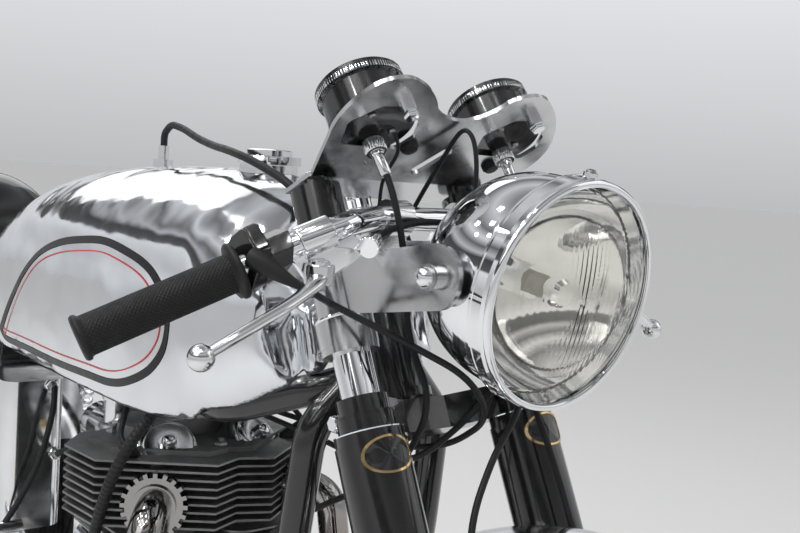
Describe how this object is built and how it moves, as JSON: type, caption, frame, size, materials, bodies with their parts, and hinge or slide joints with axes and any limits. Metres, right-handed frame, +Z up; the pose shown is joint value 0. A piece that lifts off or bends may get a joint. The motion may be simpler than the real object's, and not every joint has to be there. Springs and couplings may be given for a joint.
{
  "type": "cafe racer motorcycle",
  "caption": "Cafe racer motorcycle with a long polished tank, dropped handlebar, round headlamp, finned twin engine, wire wheels, humped seat and centre stand.",
  "frame": {"origin": "centre of the bounding box in plan, on the ground", "axes": "+X forward along the machine, +Y to the rider's left, +Z up"},
  "size_m": [2.0779, 0.6666, 1.054],
  "materials": {
    "tyre": "matt",
    "polished_alloy": "polished",
    "cast_alloy": "satin",
    "chrome": "polished",
    "black_gloss": "gloss",
    "grip_rubber": "matt",
    "seat_leather": "satin",
    "lamp_glass": "clear",
    "tail_lens": "gloss",
    "steel": "satin"
  },
  "bodies": {
    "frame": {"steering_head": "black_gloss", "top_rails": "black_gloss", "down_tubes": "black_gloss", "cradle_rails": "black_gloss", "rear_uprights": "black_gloss", "rear_subframe": "black_gloss", "swingarm": "black_gloss", "rear_shocks": "chrome", "crankcase": "polished_alloy", "engine_covers": "polished_alloy", "cylinder_block": "cast_alloy", "cylinder_head": "cast_alloy", "carburettors": "polished_alloy", "gearbox": "polished_alloy", "engine_plates": "polished_alloy", "exhaust_pipes": "chrome", "silencers": "chrome", "drive_chain": "steel", "fuel_tank": "polished_alloy", "tank_fittings": "polished_alloy", "seat_shell": "black_gloss", "seat_pad": "seat_leather", "side_tanks": "polished_alloy", "rear_mudguard": "polished_alloy", "tail_lamp": "tail_lens", "foot_controls": "polished_alloy", "breather_hose": "grip_rubber"},
    "steering": {"stanchions": "chrome", "fork_sliders": "polished_alloy", "fork_covers": "black_gloss", "lower_yoke": "black_gloss", "top_yoke": "polished_alloy", "fork_caps": "black_gloss", "headlamp_ears": "chrome", "headlamp_shell": "chrome", "headlamp_glass": "lamp_glass", "lamp_reflector": "chrome", "gauge_bracket": "polished_alloy", "gauges": "black_gloss", "handlebar": "chrome", "grips": "grip_rubber", "bar_controls": "polished_alloy", "hand_levers": "polished_alloy", "front_mudguard": "polished_alloy", "front_brake_plate": "polished_alloy", "crossing_cables": "grip_rubber", "fork_cables": "grip_rubber"},
    "front_wheel": {"front_tyre": "tyre", "front_rim": "polished_alloy"},
    "rear_wheel": {"rear_tyre": "tyre", "rear_rim": "polished_alloy"},
    "centre_stand": {"centre_stand": "black_gloss"},
    "filler_lid": {"filler_lid": "polished_alloy"}
  },
  "joints": [
    {"name": "steering_turn", "type": "hinge", "parent": "frame", "child": "steering", "pos_m": [0.4332, 0, 0.7518], "axis": [-0.4384, 0, 0.8988], "range_deg": [-27, 27], "deforming": ["crossing_cables"]},
    {"name": "front_wheel_spin", "type": "hinge", "parent": "steering", "child": "front_wheel", "pos_m": [0.709, 0, 0.33], "axis": [0, 1, 0], "continuous": true},
    {"name": "rear_wheel_spin", "type": "hinge", "parent": "frame", "child": "rear_wheel", "pos_m": [-0.701, 0, 0.363], "axis": [0, 1, 0], "continuous": true},
    {"name": "stand_swing", "type": "hinge", "parent": "frame", "child": "centre_stand", "pos_m": [-0.205, 0, 0.142], "axis": [0, 1, 0], "range_deg": [0, 75]},
    {"name": "filler_lid_hinge", "type": "hinge", "parent": "frame", "child": "filler_lid", "pos_m": [0.151, 0, 0.9615], "axis": [0, -1, 0], "range_deg": [0, 100]}
  ]
}
